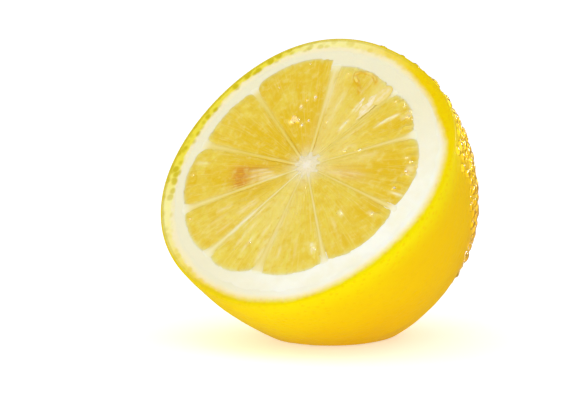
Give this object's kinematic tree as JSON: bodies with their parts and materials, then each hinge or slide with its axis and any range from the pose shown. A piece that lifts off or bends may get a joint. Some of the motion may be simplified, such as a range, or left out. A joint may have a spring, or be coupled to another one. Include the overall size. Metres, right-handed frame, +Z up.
{
  "type": "lemon half",
  "caption": "Half a fresh lemon, cut across its middle, standing on a small trimmed flat with its cut face tilted up.",
  "frame": {"origin": "middle of the small flat trimmed off the rind, on the surface that the half stands on", "axes": "+Z up out of the surface, the cut face looks along -Y and up with its normal 37.2 degrees above the horizontal, the lemon's axis runs back along +Y and down, +X across the cut face"},
  "size_m": [0.061, 0.0563, 0.057],
  "materials": {
    "zest": "waxy yellow rind with fine oil glands",
    "pith": "matt fibrous cream white",
    "pulp": "wet translucent juice sacs",
    "membrane": "thin moist segment walls and fibrous core",
    "water": "clear water beads"
  },
  "bodies": {
    "root": {"lemon_half": "zest"}
  },
  "joints": []
}
